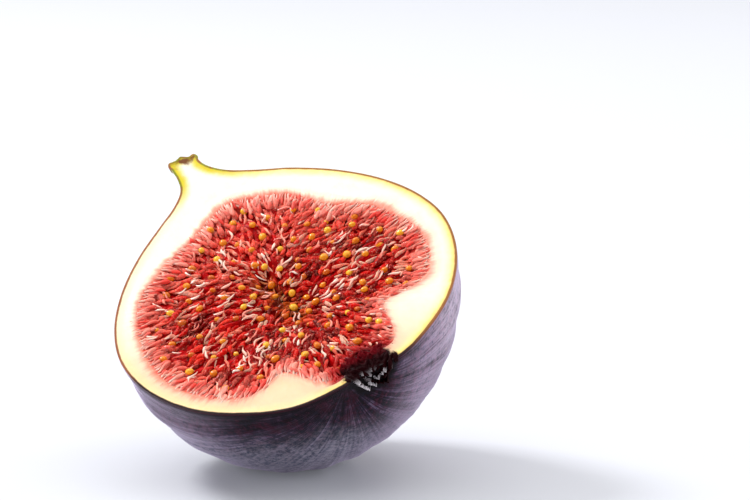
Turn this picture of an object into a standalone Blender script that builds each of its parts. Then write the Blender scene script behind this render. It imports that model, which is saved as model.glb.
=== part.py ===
"""Half of a fresh fig, cut lengthwise through stalk and eye, resting on its rounded back.

It is one fruit whose parts grew together. They are three solids, one for each colour that
holds together: the wall (skin, pale flesh, neck and stalk), the pulp of florets and seeds
that lines it, and the dark scales that close the eye at the bottom of the fruit.

Each solid is modelled in the fig's own frame: the cut face is the plane Z = 0, +Y points to
the stalk, +X is the right of the face, and the fruit lies below it. The empty that carries
the solids then lays the half on its back, with its face leaning to the front.
"""

import math
import random

import bmesh
import bpy
from mathutils import Matrix, Vector
from mathutils.geometry import interpolate_bezier

MM = 0.001
GAP = 0.3 * MM  # between solids that touch on the real fruit

# The fruit as a whole
HALF_BREADTH = 28.0 * MM
# Half its outline from the eye to the stalk, in half-breadths: (distance from the axis, height)
OUTLINE = (
    (0.0, -0.907),
    (0.304, -0.889),
    (0.554, -0.771),
    (0.779, -0.586),
    (0.943, -0.314),
    (1.0, -0.021),  # the belly
    (0.95, 0.243),
    (0.821, 0.493),
    (0.636, 0.714),
    (0.429, 0.889),
    (0.271, 1.0),
    (0.154, 1.107),  # the neck
    (0.1, 1.214),
    (0.086, 1.307),  # the stalk
    (0.093, 1.371),
    (0.071, 1.4),
    (0.0, 1.411),
)
STEPS = 2  # stations on each stretch of the outline
COLUMNS = 60  # facets round the half
DEPTH_RATIO = 1.14  # its depth below the cut, in half-breadths
RIBS_ROUND = 24
RIB_RELIEF = 0.008  # of the local radius
NECK_FROM, NECK_TO = 24.0 * MM, 37.0 * MM
STALK_SHIFT = -2.9 * MM  # the stalk leans to the left of the face
STALK_SLANT = -0.18  # how far its cut end rises to the right
SLANT_FROM, SLANT_TO = 34.0 * MM, 38.5 * MM

# The pulp's edge on the cut face: its radius, and the stretches where it swells or draws in
PULP_RADIUS = HALF_BREADTH - 3.7 * MM
PULP_EDGE = (  # (angle in degrees, half-width in degrees, change of radius in mm)
    (89, 9, 1.4),  # drawn up towards the stalk
    (42, 30, -3.2),  # right shoulder
    (117, 20, -3.0),  # left shoulder
    (200, 20, 1.0),  # left side
    (247, 10, -5.2),  # the wall thickens to the left of the eye
    (282, 9, -2.9),  # where the channel meets the eye's scales
    (314, 13, -6.4),  # the wall thickens to the right of the eye
)
PULP_DEPTH = DEPTH_RATIO * HALF_BREADTH - 5.9 * MM
NOTCH_DROP = 0.9  # radians down the bowl's side, to where the notches have faded
PULP_COLUMNS = 60
BOWL_ROWS = 7
CORE_RINGS = (0.22, 0.45, 0.7, 1.0)  # shares of the way to the pulp's edge
CORE_SUNK = 0.7 * MM  # from the cut face to the core that the florets stand out of
CAVITY = Vector((0.2, -4.0, 0.0)) * MM  # the small hollow that the florets point to
CAVITY_SIZE = 6.0 * MM
CAVITY_DEPTH = 2.4 * MM

FLORETS = 160
FLORET_SIDES = 4
FLORET_LENGTH = (4.0 * MM, 6.4 * MM)  # at the hollow, and at the wall
FLORET_WIDTH = 2.2 * MM
FLORET_RINGS = ((0.3, 0.55), (0.72, 1.0))  # (share of its length, share of its width)
FLORET_RISE = 0.22  # of its width, from the core to its middle line
FLORET_SWING = 0.3  # radians either way from straight inwards
EDGE_MARGIN = 0.7 * MM  # that the florets keep from the wall
GOLDEN_ANGLE = math.radians(137.508)
EVERY_SEED = 3  # every third floret shows its seed
SEED_LENGTH = 1.9 * MM
SEED_WIDTH = 1.4 * MM
SEED_RINGS = ((0.5, 1.0),)
SEED_RISE = 0.42  # of the floret's width

# The eye
EYE = Vector((4.7, -24.2, 0.0)) * MM
EYE_RADIUS = 4.3 * MM
EYE_TAPER = 0.6  # it narrows inwards by this much of its depth
EYE_INNER_Y = -21.9 * MM
EYE_OUTER_Y = -24.3 * MM
EYE_CUT = 2.5 * MM  # the hole in the wall runs past the plug by this at both ends
EYE_DIMPLE = 0.9 * MM
EYE_BULGE = 0.9 * MM
EYE_SIDES = 16
SCALE_ROWS = ((3.7 * MM, 9, 0.0), (2.2 * MM, 6, 0.5))  # (distance from the pore, scales, stagger)
SCALE_LENGTH = 2.7 * MM
SCALE_WIDTH = 2.1 * MM
SCALE_THICKNESS = 0.9 * MM
SCALE_RINGS = ((0.35, 1.0),)
SCALE_ROOT = 0.8 * MM  # sunk in the plug by this
SCALE_LEAN = math.radians(55)  # over the pore, from straight out of the fruit

# How it lies
LEAN = math.radians(35.9)  # of the cut face from level
LEAN_TOWARDS = math.radians(-109.9)  # compass direction of the lean, from +X
HEADING = math.radians(20.4)  # the stalk points this far left of straight back
REST_FLAT = 1.0 * MM  # the soft fruit is pressed flat by this
SHARP_ANGLE = math.radians(40)

SKIN_PURPLE = (0.10, 0.06, 0.14)
PULP_RED = (0.62, 0.06, 0.06)
EYE_BLACK = (0.03, 0.02, 0.02)


def clear_scene():
    for obj in list(bpy.data.objects):
        bpy.data.objects.remove(obj)


def material(name, colour, roughness):
    made = bpy.data.materials.new(name)
    made.use_nodes = True
    shader = made.node_tree.nodes["Principled BSDF"]
    shader.inputs["Base Color"].default_value = (*colour, 1.0)
    shader.inputs["Roughness"].default_value = roughness
    shader.inputs["Metallic"].default_value = 0.0
    return made


def object_from(bm, name, finish=None):
    """A scene object from a bmesh, which it frees."""
    bmesh.ops.recalc_face_normals(bm, faces=bm.faces)
    mesh = bpy.data.meshes.new(name)
    bm.to_mesh(mesh)
    bm.free()
    obj = bpy.data.objects.new(name, mesh)
    bpy.context.scene.collection.objects.link(obj)
    if finish:
        mesh.materials.append(finish)
    return obj


def smoothstep(low, high, value):
    t = min(1.0, max(0.0, (value - low) / (high - low)))
    return t * t * (3 - 2 * t)


def smooth_curve(points, steps):
    """Points on a smooth curve through the given ones, with the given number on each stretch."""
    knots = [Vector((x, y, 0.0)) for x, y in points]
    last = len(knots) - 1
    curve = []
    for i in range(last):
        start, end = knots[i], knots[i + 1]
        third = (end - start).length / 3
        leaving = (end - knots[max(i - 1, 0)]).normalized()
        arriving = (knots[min(i + 2, last)] - start).normalized()
        curve += interpolate_bezier(
            start, start + leaving * third, end - arriving * third, end, steps + 1
        )[:-1]
    return curve + [knots[last]]


def loft(bm, rows):
    """Quads between rows of equal length; a row of one point is a tip, which gets triangles."""
    made = [[bm.verts.new(point) for point in row] for row in rows]
    for low, high in zip(made, made[1:]):
        for i in range(max(len(low), len(high)) - 1):
            corners = [low[i % len(low)], low[(i + 1) % len(low)]]
            corners += [high[(i + 1) % len(high)], high[i % len(high)]]
            bm.faces.new(list(dict.fromkeys(corners)))
    return made


def skin_point(radius, y, turn):
    """On the outside, at a station of the outline and a turn from the face's right (0) to its left (pi)."""
    neck = smoothstep(NECK_FROM, NECK_TO, y)
    strength = 0.7 + 0.3 * math.sin(5 * turn + 1.1 * y / HALF_BREADTH)
    radius *= 1 + RIB_RELIEF * strength * math.cos(RIBS_ROUND * turn) * (1 - 0.5 * neck)
    x = STALK_SHIFT * neck + radius * math.cos(turn)
    z = -radius * math.sin(turn) * (DEPTH_RATIO + (1 - DEPTH_RATIO) * neck)
    if y < 0:
        off_eye = math.hypot(x - EYE.x, z) / EYE_RADIUS
        y += EYE_DIMPLE * math.exp(-(off_eye**2))
    y += STALK_SLANT * (x - STALK_SHIFT) * smoothstep(SLANT_FROM, SLANT_TO, y)
    return Vector((x, y, z))


def fruit_half():
    """The half as one closed shape: the outside, and the flat cut face."""
    turns = [math.pi * i / COLUMNS for i in range(COLUMNS + 1)]
    rows = []
    for station in smooth_curve(OUTLINE, STEPS):
        radius, y = station.x * HALF_BREADTH, station.y * HALF_BREADTH
        around = turns if radius > 0 else [0.0]
        rows.append([skin_point(radius, y, turn) for turn in around])
    bm = bmesh.new()
    made = loft(bm, rows)
    right = [row[0] for row in made]
    left = [row[-1] for row in made[1:-1]]
    bm.faces.new(right + left[::-1])
    return bm


def pulp_radius(angle, notches=1.0):
    """The pulp's edge at an angle from +X, with its swells and notches scaled."""
    change = 0.0
    for centre, width, amount in PULP_EDGE:
        off = (math.degrees(angle) - centre + 180) % 360 - 180
        change += amount * MM * math.exp(-((off / width) ** 2))
    return PULP_RADIUS + change * notches


def bowl_rows(inset):
    """Rings of the hollow in the wall, from its edge on the cut face down to its lowest point."""
    rows = []
    for step in range(BOWL_ROWS):
        drop = math.pi / 2 * step / BOWL_ROWS
        notches = 1 - smoothstep(0.0, NOTCH_DROP, drop)
        row = []
        for i in range(PULP_COLUMNS):
            angle = math.tau * i / PULP_COLUMNS
            reach = (pulp_radius(angle, notches) - inset) * math.cos(drop)
            depth = (PULP_DEPTH - inset) * math.sin(drop)
            row.append(Vector((reach * math.cos(angle), reach * math.sin(angle), -depth)))
        rows.append(row + row[:1])
    return rows + [[Vector((0.0, 0.0, inset - PULP_DEPTH))]]


def ring_loft(rows):
    """A closed bmesh from rings whose last point repeats the first."""
    bm = bmesh.new()
    loft(bm, rows)
    bmesh.ops.remove_doubles(bm, verts=bm.verts, dist=1e-7)
    return bm


def bowl_cutter():
    rows = bowl_rows(0.0)
    above = Vector((0, 0, 3 * MM))
    return ring_loft([[above], [point + above for point in rows[0]]] + rows)


def pulp_top(x, y):
    """Height of the core that the florets stand out of, with the hollow in its middle."""
    off = (Vector((x, y, 0)) - CAVITY).length / CAVITY_SIZE
    return -CORE_SUNK - CAVITY_DEPTH * math.exp(-(off**2))


def on_core(point, rise=0.0):
    return Vector((point.x, point.y, pulp_top(point.x, point.y) + rise))


def pulp_core():
    sides = bowl_rows(GAP)
    top = [[on_core(point * share) for point in sides[0]] for share in CORE_RINGS]
    centre = [on_core(Vector((0, 0, 0)))]
    return ring_loft([centre] + top + sides[1:])


def circle(x, y, radius, sides):
    """A ring round the line through x along Y, whose last point repeats the first."""
    angles = [math.tau * i / sides for i in range(sides)]
    ring = [Vector((x + radius * math.cos(angle), y, radius * math.sin(angle))) for angle in angles]
    return ring + ring[:1]


def grain(length, width, sides, stations):
    """A pointed grain along +Y: rings at (share of length, share of width) between its two tips."""
    rows = [[Vector((0, 0, 0))]]
    for along, across in stations:
        rows.append(circle(0.0, length * along, width / 2 * across, sides))
    return ring_loft(rows + [[Vector((0, length, 0))]])


def lay(bm, name, tail, head, roll):
    """Takes a grain made along +Y, lays it from tail towards head and turns it by roll about its length."""
    aim = (head - tail).to_track_quat("Y", "Z").to_matrix().to_4x4()
    turn = Matrix.Translation(tail) @ aim @ Matrix.Rotation(roll, 4, "Y")
    bmesh.ops.transform(bm, matrix=turn, verts=bm.verts)
    return object_from(bm, name)


def near_edge(point):
    return point.length > pulp_radius(math.atan2(point.y, point.x)) - EDGE_MARGIN


def florets():
    """Florets in a spiral over the face, each pointing from the wall to the hollow, some with a seed."""
    draw = random.Random(7)
    pieces = []
    for k in range(FLORETS):
        share = math.sqrt((k + 0.6) / FLORETS)
        angle = (k * GOLDEN_ANGLE) % math.tau
        reach = share * (pulp_radius(angle) - GAP - FLORET_WIDTH)
        middle = Vector((reach * math.cos(angle), reach * math.sin(angle), 0))
        inwards = (CAVITY - middle).normalized()
        inwards.rotate(Matrix.Rotation(draw.uniform(-FLORET_SWING, FLORET_SWING), 3, "Z"))
        length = FLORET_LENGTH[0] + share * (FLORET_LENGTH[1] - FLORET_LENGTH[0])
        width = FLORET_WIDTH * draw.uniform(0.85, 1.1)
        side = inwards.cross(Vector((0, 0, 1))) * width / 2
        tail = middle - inwards * length / 2
        while any(near_edge(tail + across) for across in (side, -side)):
            tail += inwards * 0.2 * MM
        tail = on_core(tail, FLORET_RISE * width)
        head = on_core(tail + inwards * length, FLORET_RISE * width * draw.uniform(0.4, 1.6))
        body = grain(length, width, FLORET_SIDES, FLORET_RINGS)
        pieces.append(lay(body, f"floret_{k}", tail, head, draw.uniform(0, 1)))
        if k % EVERY_SEED == 0:
            seed = grain(SEED_LENGTH, SEED_WIDTH, FLORET_SIDES, SEED_RINGS)
            start = tail.lerp(head, 0.5) + Vector((0, 0, SEED_RISE * width))
            pieces.append(lay(seed, f"seed_{k}", start, start + inwards, 0.3))
    return pieces


def join(base, pieces):
    """One Boolean union of the base with all the pieces, applied; the pieces are then removed."""
    together = bpy.data.collections.new(base.name + "_pieces")
    bpy.context.scene.collection.children.link(together)
    for piece in pieces:
        bpy.context.scene.collection.objects.unlink(piece)
        together.objects.link(piece)
    union = base.modifiers.new("join", "BOOLEAN")
    union.operation = "UNION"
    union.operand_type = "COLLECTION"
    union.collection = together
    union.solver = "MANIFOLD"
    apply_modifiers(base)
    for piece in pieces:
        bpy.data.objects.remove(piece)
    bpy.data.collections.remove(together)


def apply_modifiers(obj):
    bpy.context.view_layer.update()
    evaluated = obj.evaluated_get(bpy.context.evaluated_depsgraph_get())
    applied = bpy.data.meshes.new_from_object(evaluated)
    applied.name = obj.name
    obj.modifiers.clear()
    obj.data = applied


def cut_out(obj, cutter):
    hollow = obj.modifiers.new("cut", "BOOLEAN")
    hollow.operation = "DIFFERENCE"
    hollow.solver = "EXACT"
    hollow.object = cutter
    apply_modifiers(obj)
    bpy.data.objects.remove(cutter)


def eye_plug(inset, overrun):
    """The round plug of the eye, narrower inside, with its axis on the cut face and a low dome outside."""
    inner, outer = EYE_INNER_Y - inset + overrun, EYE_OUTER_Y - overrun
    rows = []
    for y in (inner, outer):
        radius = EYE_RADIUS - inset + EYE_TAPER * (EYE_OUTER_Y - y)
        rows.append(circle(EYE.x, y, radius, EYE_SIDES))
    ends = [[Vector((EYE.x, y, 0))] for y in (inner, outer - EYE_BULGE)]
    return ring_loft(ends[:1] + rows + ends[1:])


def eye_scales():
    """Scales in staggered arcs round the pore, each leaning over it from the side."""
    thin = Matrix.Diagonal((1, 1, SCALE_THICKNESS / SCALE_WIDTH, 1))
    lean = Matrix.Rotation(math.pi - SCALE_LEAN, 4, "X")
    pieces = []
    for reach, count, stagger in SCALE_ROWS:
        for i in range(count):
            angle = -math.pi * (i + 0.5 * stagger + 0.25) / (count - 0.5 + stagger)
            root = Vector((EYE.x, EYE_OUTER_Y + SCALE_ROOT, 0))
            root += Vector((math.cos(angle), 0, math.sin(angle))) * reach
            turn = Matrix.Translation(root) @ Matrix.Rotation(-angle - math.pi / 2, 4, "Y")
            scale = grain(SCALE_LENGTH, SCALE_WIDTH, 4, SCALE_RINGS)
            bmesh.ops.transform(scale, matrix=turn @ lean @ thin, verts=scale.verts)
            pieces.append(object_from(scale, f"scale_{count}_{i}"))
    return pieces


def cut_flat(obj, at, outwards):
    """Slices the object by a plane, drops what lies outwards and closes the cut."""
    bm = bmesh.new()
    bm.from_mesh(obj.data)
    everything = list(bm.verts) + list(bm.edges) + list(bm.faces)
    bmesh.ops.bisect_plane(bm, geom=everything, plane_co=at, plane_no=outwards, clear_outer=True)
    bmesh.ops.holes_fill(bm, edges=[e for e in bm.edges if e.is_boundary])
    bmesh.ops.recalc_face_normals(bm, faces=bm.faces)
    bm.to_mesh(obj.data)
    bm.free()


def resting_turn():
    """The turn from the fig's own frame to how it lies."""
    hinge = Vector((-math.sin(LEAN_TOWARDS), math.cos(LEAN_TOWARDS), 0))
    return Matrix.Rotation(LEAN, 4, hinge) @ Matrix.Rotation(HEADING, 4, "Z")


def lay_down(wall, others):
    """Presses the wall flat where it will touch, and rests all solids on it, centred over the origin."""
    turn = resting_turn()
    up = turn.inverted() @ Vector((0, 0, 1))
    floor = min(vertex.co.dot(up) for vertex in wall.data.vertices) + REST_FLAT
    cut_flat(wall, up * floor, -up)

    solids = [wall] + others
    corners = [turn @ vertex.co for solid in solids for vertex in solid.data.vertices]
    middle = [(max(c[i] for c in corners) + min(c[i] for c in corners)) / 2 for i in (0, 1)]
    pose = bpy.data.objects.new("resting_pose", None)
    bpy.context.scene.collection.objects.link(pose)
    pose.matrix_world = Matrix.Translation((-middle[0], -middle[1], -floor)) @ turn
    for solid in solids:
        solid.parent = pose
        solid.data.shade_smooth()
        solid.data.set_sharp_from_angle(angle=SHARP_ANGLE)


def main():
    clear_scene()
    wall = object_from(fruit_half(), "wall", material("skin", SKIN_PURPLE, 0.45))
    cut_out(wall, object_from(bowl_cutter(), "bowl_cutter"))
    cut_out(wall, object_from(eye_plug(0.0, EYE_CUT), "eye_cutter"))

    pulp = object_from(pulp_core(), "pulp", material("pulp", PULP_RED, 0.3))
    join(pulp, florets())

    scales = object_from(eye_plug(GAP, 0.0), "eye_scales", material("eye", EYE_BLACK, 0.6))
    join(scales, eye_scales())
    cut_flat(scales, Vector((0, 0, 0)), Vector((0, 0, 1)))

    lay_down(wall, [pulp, scales])


main()
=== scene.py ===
"""The looks of the halved fresh fig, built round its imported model.

Each of the model's solids is remade here in full detail from the same formulas, in the fig's own
frame: the cut face is the plane Z = 0, +Y points to the stalk, +X is the right of the face, and
the fruit lies below it. One matrix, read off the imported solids, then lays every piece down.
"""

import math
import random

import bmesh
import bpy
import numpy as np
from mathutils import Matrix, Vector, noise
from mathutils.geometry import delaunay_2d_cdt, interpolate_bezier


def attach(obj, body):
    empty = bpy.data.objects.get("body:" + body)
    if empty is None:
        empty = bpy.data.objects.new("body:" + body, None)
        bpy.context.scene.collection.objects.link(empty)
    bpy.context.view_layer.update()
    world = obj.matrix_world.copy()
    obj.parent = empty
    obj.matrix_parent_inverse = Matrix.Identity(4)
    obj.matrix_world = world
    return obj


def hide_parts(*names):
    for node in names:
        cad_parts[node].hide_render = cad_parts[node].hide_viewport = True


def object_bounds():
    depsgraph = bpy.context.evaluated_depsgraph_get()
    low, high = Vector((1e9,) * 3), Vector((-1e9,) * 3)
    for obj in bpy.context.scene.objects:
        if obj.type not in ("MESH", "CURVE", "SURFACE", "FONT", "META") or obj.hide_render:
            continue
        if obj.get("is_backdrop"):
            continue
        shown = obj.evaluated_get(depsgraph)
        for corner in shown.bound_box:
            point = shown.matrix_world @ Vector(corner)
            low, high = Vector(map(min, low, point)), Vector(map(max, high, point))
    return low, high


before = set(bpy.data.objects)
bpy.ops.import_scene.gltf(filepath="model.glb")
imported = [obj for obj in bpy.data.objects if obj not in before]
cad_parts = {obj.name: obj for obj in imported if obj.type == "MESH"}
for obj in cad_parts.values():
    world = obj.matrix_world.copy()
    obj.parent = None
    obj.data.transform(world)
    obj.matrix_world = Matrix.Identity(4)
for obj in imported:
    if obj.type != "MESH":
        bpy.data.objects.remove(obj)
cad_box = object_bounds()

MM = 0.001
TINY = 1e-9  # divides in place of nought

# ------------ the fruit's form, as in the model
LEAN = math.radians(35.9)  # of the cut face from level
LEAN_TOWARDS = math.radians(-109.9)  # compass direction of the lean, from +X
HEADING = math.radians(20.4)  # the stalk points this far left of straight back
GAP = 0.3 * MM  # between the solids
RIBS_ROUND = 24
RIB_RELIEF = 0.008  # of the local radius
# Half the outline from the eye to the stalk, in half-breadths: (from the axis, height)
OUTLINE = (
    (0.0, -0.907), (0.304, -0.889), (0.554, -0.771), (0.779, -0.586), (0.943, -0.314),
    (1.0, -0.021), (0.95, 0.243), (0.821, 0.493), (0.636, 0.714), (0.429, 0.889), (0.271, 1.0),
    (0.154, 1.107), (0.1, 1.214), (0.086, 1.307), (0.093, 1.371), (0.071, 1.4), (0.0, 1.411),
)  # fmt: skip
DEPTH_RATIO = 1.14  # depth below the cut, in half-breadths
NECK_FROM, NECK_TO = 24.0 * MM, 37.0 * MM
STALK_SHIFT = -2.9 * MM  # to the left of the face
STALK_SLANT = -0.18  # how far its cut end rises to the right
SLANT_FROM, SLANT_TO = 34.0 * MM, 38.5 * MM
RIM_BREADTH = 3.7 * MM  # of skin and pale flesh, on the cut
BOTTOM_THICKNESS = 5.9 * MM  # of the flesh under the pulp
# Where the pulp swells or draws in: (angle and half-width in degrees, millimetres)
PULP_EDGE = (
    (89, 9, 1.4), (42, 30, -3.2), (117, 20, -3.0), (200, 20, 1.0),
    (247, 10, -5.2), (282, 9, -2.9), (314, 13, -6.4),
)  # fmt: skip
NOTCH_DROP = 0.9  # radians down the bowl's side, where the notches have faded
CORE_SUNK = 0.7 * MM  # from the cut face to the florets' core
CAVITY = Vector((0.2, -4.0, 0.0)) * MM  # the small hollow in the pulp
CAVITY_SIZE = 6.0 * MM
CAVITY_DEPTH = 2.4 * MM
EYE = Vector((4.7, -24.2, 0.0)) * MM
EYE_RADIUS = 4.3 * MM
EYE_INNER_Y = -21.9 * MM
EYE_OUTER_Y = -24.3 * MM
EYE_DIMPLE = 0.9 * MM

# ------------ detail that only the looks have
SKIN_STEPS = 10  # stations on each stretch of the outline
SKIN_COLUMNS = 240
FINE_RIBS = 83
FINE_RIB_RELIEF = 0.0012
TEAR = 1.3 * MM  # of the stalk's end
TEAR_FROM, TEAR_TO = 36.2 * MM, 38.6 * MM
TEAR_SCALE = 900  # per metre, of its raggedness
TEAR_LEAST_X = -2.3 * MM  # where the end is torn back least
TEAR_BREADTH = 3.0 * MM
FACE_SPACING = 0.5 * MM  # between the cut face's inner points
FACE_ROW = 0.866  # spacings between their rows
FACE_REACH = 1.45  # half-breadths up, to beyond the stalk
FACE_RINGS = (0.14 * MM, 0.34 * MM, 0.62 * MM)  # from the skin, and from the pulp
FACE_CLEARANCE = 0.9 * MM  # from both edges to the evenly spread points
FACE_FLAT = 1.5 * MM  # from both edges to where the cut has its full relief
GRAIN_SCALE, SWELL_SCALE = 900, 180  # per metre, of that relief
PULP_COLUMNS = 300
BOWL_ROWS = 8
BED_RINGS = 80
BED_CROWDING = 0.8  # below 1 the rings lie closer together towards the edge
BED_RISE = 0.88  # share of the red's reach where the bed rises to the cut
BED_SHRINK = 0.995  # holds it off the wall's own hollow
RIDGE_ROUND, RIDGE_ALONG = 17, 0.22  # scale of its ridges, round the hollow and per millimetre
LUMP_SCALE = 700  # per metre
SEAM = (Vector((-2.2, 4.5, 0.0)) * MM, Vector((0.2, -4.6, 0.0)) * MM)  # the florets point to it
CORE_FROM, CORE_TO = 0.3 * MM, 3.4 * MM  # how far from it they are brown
HOLLOW_DEPTH = 1.7 * MM
HOLLOW_SIZE = 2.6 * MM
# Where the red ends short of the pulp's edge, in the same terms
RED_FALLS_SHORT = ((47, 15, 1.6), (84, 13, 1.2), (138, 10, 0.9), (258, 7, 1.4), (12, 7, 0.6))
SHARP_ANGLE = math.radians(48)
WELD = 0.0015 * MM

random.seed(11)
noise.seed_set(11)  # without it, noise_vector differs from run to run


# ------------ the fruit's form
def own_frame():
    """The matrix of the fig's own frame, and half its breadth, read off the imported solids."""
    hinge = Vector((-math.sin(LEAN_TOWARDS), math.cos(LEAN_TOWARDS), 0))
    turn = Matrix.Rotation(LEAN, 4, hinge) @ Matrix.Rotation(HEADING, 4, "Z")
    corners = {}
    for node in ("wall", "eye_scales"):
        points = np.array([turn.inverted() @ v.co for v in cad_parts[node].data.vertices])
        corners[node] = points.min(0), points.max(0)
    (wall_low, wall_high), (eye_low, eye_high) = corners["wall"], corners["eye_scales"]
    middle = ((eye_low[0] + eye_high[0]) / 2 - EYE.x, eye_high[1] - (EYE_INNER_Y - GAP), wall_high[2])
    half = (wall_high[0] - wall_low[0]) / 2 / (1 + RIB_RELIEF)
    return turn @ Matrix.Translation(middle), half


OWN, HALF_BREADTH = own_frame()
PULP_RADIUS = HALF_BREADTH - RIM_BREADTH
PULP_DEPTH = DEPTH_RATIO * HALF_BREADTH - BOTTOM_THICKNESS


def smoothstep(low, high, value):
    t = np.clip((value - low) / (high - low), 0.0, 1.0)
    return t * t * (3 - 2 * t)


def smooth_curve(points, steps):
    """Points on a smooth curve through the given ones, with the given number on each stretch."""
    knots = [Vector((x, y, 0.0)) for x, y in points]
    last = len(knots) - 1
    curve = []
    for i in range(last):
        start, end = knots[i], knots[i + 1]
        third = (end - start).length / 3
        leaving = (end - knots[max(i - 1, 0)]).normalized()
        arriving = (knots[min(i + 2, last)] - start).normalized()
        curve += interpolate_bezier(
            start, start + leaving * third, end - arriving * third, end, steps + 1
        )[:-1]
    return curve + [knots[last]]


def swells(angle, table):
    """The sum, at an angle from +X, of a table's smooth swells, as a length."""
    total = 0.0
    for centre, width, amount in table:
        off = (np.degrees(angle) - centre + 180) % 360 - 180
        total = total + amount * MM * np.exp(-((off / width) ** 2))
    return total


def pulp_radius(angle, notches=1.0):
    """The pulp's edge at an angle from +X, with its swells and notches scaled."""
    return PULP_RADIUS + swells(angle, PULP_EDGE) * notches


def red_radius(angle):
    """Where the red of the pulp ends: in places the pale flesh reaches in over the pulp's edge."""
    return pulp_radius(angle) - swells(angle, RED_FALLS_SHORT)


def core_top(x, y):
    """The core's top, as in the model."""
    off = np.hypot(x - CAVITY.x, y - CAVITY.y) / CAVITY_SIZE
    return -CORE_SUNK - CAVITY_DEPTH * np.exp(-(off**2))


def from_seam(x, y):
    """The distance from the line that the florets point to."""
    start, run = SEAM[0], SEAM[1] - SEAM[0]
    share = np.clip(((x - start.x) * run.x + (y - start.y) * run.y) / run.length_squared, 0, 1)
    return np.hypot(x - start.x - share * run.x, y - start.y - share * run.y)


def hollow_top(x, y):
    """The core's top as it is seen: the hollow runs on towards the stalk."""
    depth = HOLLOW_DEPTH * np.exp(-((from_seam(x, y) / HOLLOW_SIZE) ** 2))
    return np.minimum(core_top(x, y), -CORE_SUNK - depth)


def skin_points(radius, y, turn):
    """The outside, at stations of the outline and turns from the face's right (0) to its left (pi)."""
    neck = smoothstep(NECK_FROM, NECK_TO, y)
    strength = 0.7 + 0.3 * np.sin(5 * turn + 1.1 * y / HALF_BREADTH)
    ribs = RIB_RELIEF * strength * np.cos(RIBS_ROUND * turn) * (1 - 0.5 * neck)
    fine = FINE_RIB_RELIEF * np.sin(FINE_RIBS * turn + 2.2 * np.sin(7 * turn)) * (1 - neck)
    radius = radius * (1 + ribs + fine)
    x = STALK_SHIFT * neck + radius * np.cos(turn)
    z = -radius * np.sin(turn) * (DEPTH_RATIO + (1 - DEPTH_RATIO) * neck)
    off_eye = np.hypot(x - EYE.x, z) / EYE_RADIUS
    y = y + EYE_DIMPLE * np.exp(-(off_eye**2)) * (y < 0)
    y = y + STALK_SLANT * (x - STALK_SHIFT) * smoothstep(SLANT_FROM, SLANT_TO, y)
    y = y - TEAR * torn(x, z) * smoothstep(TEAR_FROM, TEAR_TO, y)
    return np.stack([x, y, z], axis=-1)


def torn(x, z):
    """How far the stalk's end is torn back, from 0 to 1: least a little right of its middle."""
    scale = TEAR_SCALE
    ragged = np.vectorize(lambda a, b: noise.noise(Vector((a * scale, b * scale, 0.4))))(x, z)
    off = (x - TEAR_LEAST_X) / TEAR_BREADTH
    return np.clip(0.35 + 0.9 * ragged + off**2 * 0.4, 0, 1)


# ------------ meshes
def add_object(name, data):
    made = bpy.data.objects.new(name, data)
    bpy.context.scene.collection.objects.link(made)
    return made


def add_piece(name, mesh, materials, node):
    """Lays down a mesh made in the fig's own frame, as a finished piece that stands for a node."""
    for made in materials:
        mesh.materials.append(made)
    mark(mesh, "place", points_of(mesh) / MM, "FLOAT_VECTOR")
    mesh.transform(OWN)
    mesh.shade_smooth()
    mesh.set_sharp_from_angle(angle=SHARP_ANGLE)
    piece = add_object(name, mesh)
    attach(piece, "root")
    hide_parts(node)


def points_of(mesh):
    points = np.empty(len(mesh.vertices) * 3, np.float32)
    mesh.vertices.foreach_get("co", points)
    return points.reshape(-1, 3).astype(float)


def mark(mesh, name, values, kind="FLOAT"):
    """Stores a value, or three, at each point of a mesh, for its material to read."""
    layer = mesh.attributes.new(name, kind, "POINT")
    key = "vector" if kind == "FLOAT_VECTOR" else "value"
    layer.data.foreach_set(key, np.asarray(values, np.float32).ravel())


def grid_faces(rows, columns, closed):
    """Quads between neighbouring rows of points that are numbered row by row."""
    span = columns if closed else columns - 1
    faces = []
    for here in range(0, (rows - 1) * columns, columns):
        below = here + columns
        for i in range(span):
            j = (i + 1) % columns
            faces.append((here + i, here + j, below + j, below + i))
    return faces


def add_to(bm, points, faces, material_index=0):
    verts = [bm.verts.new(point) for point in points]
    for corners in faces:
        used = list(dict.fromkeys(verts[i] for i in corners))
        if len(used) > 2:
            bm.faces.new(used).material_index = material_index


def finish_mesh(bm, name):
    bmesh.ops.remove_doubles(bm, verts=bm.verts, dist=WELD)
    bmesh.ops.recalc_face_normals(bm, faces=bm.faces)
    mesh = bpy.data.meshes.new(name)
    bm.to_mesh(mesh)
    bm.free()
    return mesh


def distance_to(points, line):
    """The distance from each 2-D point to a closed line of 2-D points, up to a metre."""
    start, end = line, np.roll(line, -1, axis=0)
    runs = end - start
    lengths = (runs**2).sum(1)
    lengths[lengths == 0] = TINY
    nearest = np.full(len(points), 1.0)
    for a, run, length in zip(start, runs, lengths):
        t = np.clip(((points - a) @ run) / length, 0, 1)
        nearest = np.minimum(nearest, np.hypot(*(points - a - t[:, None] * run).T))
    return nearest


def inside(points, line):
    """Whether each 2-D point is inside a closed line."""
    found = np.zeros(len(points), bool)
    for (x0, y0), (x1, y1) in zip(line, np.roll(line, -1, axis=0)):
        crosses = (y0 > points[:, 1]) != (y1 > points[:, 1])
        if crosses.any():
            at = x0 + (points[:, 1] - y0) * (x1 - x0) / (y1 - y0 if y1 != y0 else TINY)
            found ^= crosses & (points[:, 0] < at)
    return found


def inset_line(line, distance):
    """A closed line moved to its left side by a distance, without the points where it folds over."""
    along = np.roll(line, -1, axis=0) - np.roll(line, 1, axis=0)
    along /= np.maximum(np.hypot(*along.T), TINY)[:, None]
    moved = line + distance * np.stack([-along[:, 1], along[:, 0]], axis=1)
    return moved[distance_to(moved, line) > 0.9 * abs(distance)]


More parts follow.
